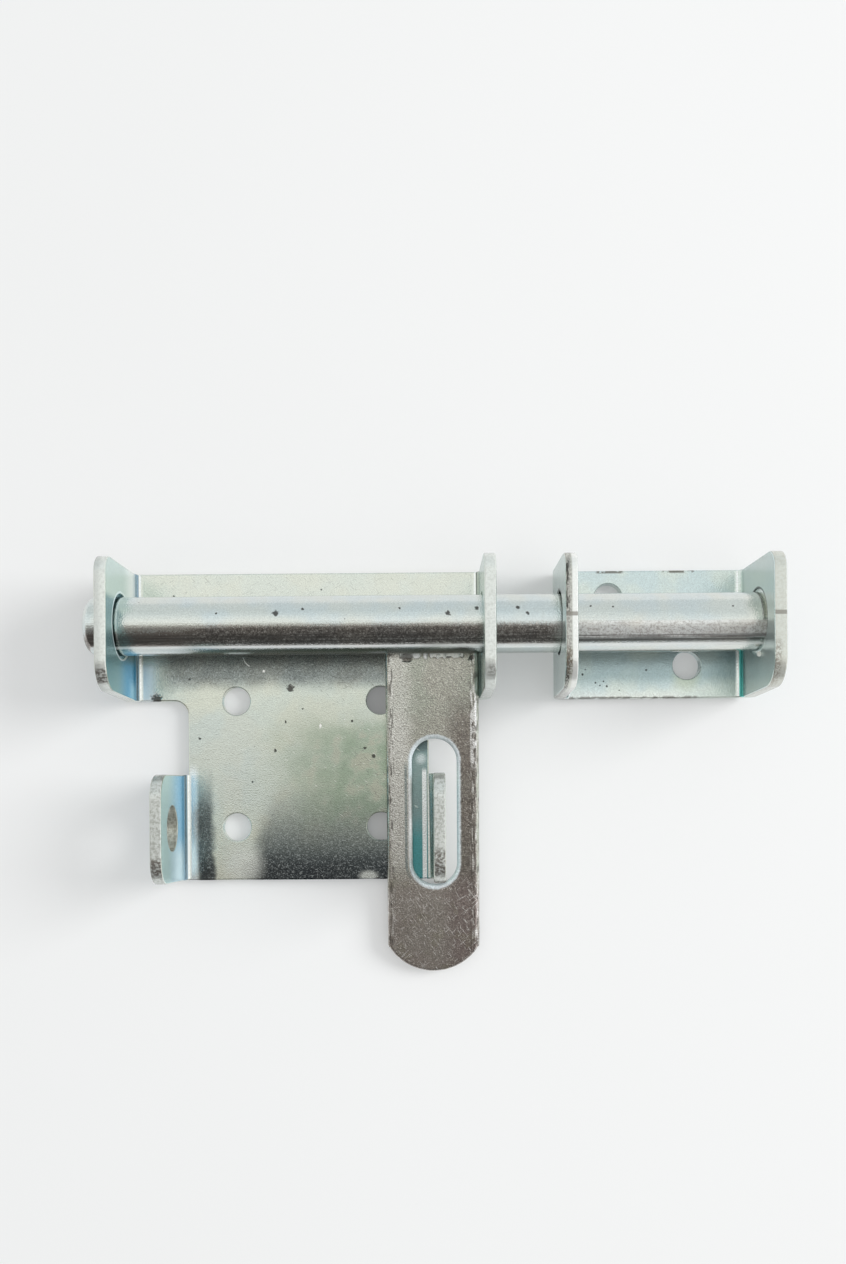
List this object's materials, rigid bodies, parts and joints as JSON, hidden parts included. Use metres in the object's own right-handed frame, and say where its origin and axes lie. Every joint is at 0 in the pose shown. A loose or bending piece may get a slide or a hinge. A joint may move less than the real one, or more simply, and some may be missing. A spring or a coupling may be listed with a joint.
{
  "type": "padbolt",
  "caption": "Padbolt: a round bar slides through a folded backplate into a folded keep, and its welded, slotted hasp drops over a staple that takes a padlock.",
  "frame": {"origin": "middle of the backplate's rectangle of screw holes, on the underside that lies on the door", "axes": "+X along the bar towards the keep, +Y across the backplate towards the bar, +Z away from the door"},
  "size_m": [0.1862, 0.1145, 0.0332],
  "materials": {
    "backplate_zinc": "bright zinc plate, olive to blue-green tint, scratched",
    "bolt_bar_zinc": "bright zinc plate, bluish, drawn lengthways",
    "hasp_zinc": "bright zinc plate, brownish, finely speckled",
    "weld_bead_zinc": "zinc-plated weld metal, lumpy",
    "keep_zinc": "bright zinc plate, pale bluish"
  },
  "bodies": {
    "backplate": {"backplate": "backplate_zinc"},
    "bolt": {"bolt_bar": "bolt_bar_zinc"},
    "hasp": {"hasp": "hasp_zinc", "weld_bead": "weld_bead_zinc"},
    "keep": {"keep": "keep_zinc"}
  },
  "joints": [
    {"name": "bolt_slide", "type": "slide", "parent": "backplate", "child": "bolt", "axis": [1, 0, 0], "range_m": [-0.001, 0.0005]},
    {"name": "hasp_swing", "type": "hinge", "parent": "bolt", "child": "hasp", "pos_m": [0.0356, 0.0377, 0.0175], "axis": [-1, 0, 0], "range_deg": [0, 196]},
    {"name": "keep_slide", "type": "slide", "parent": "backplate", "child": "keep", "axis": [1, 0, 0], "range_m": [-0.0177, 0.062]}
  ]
}
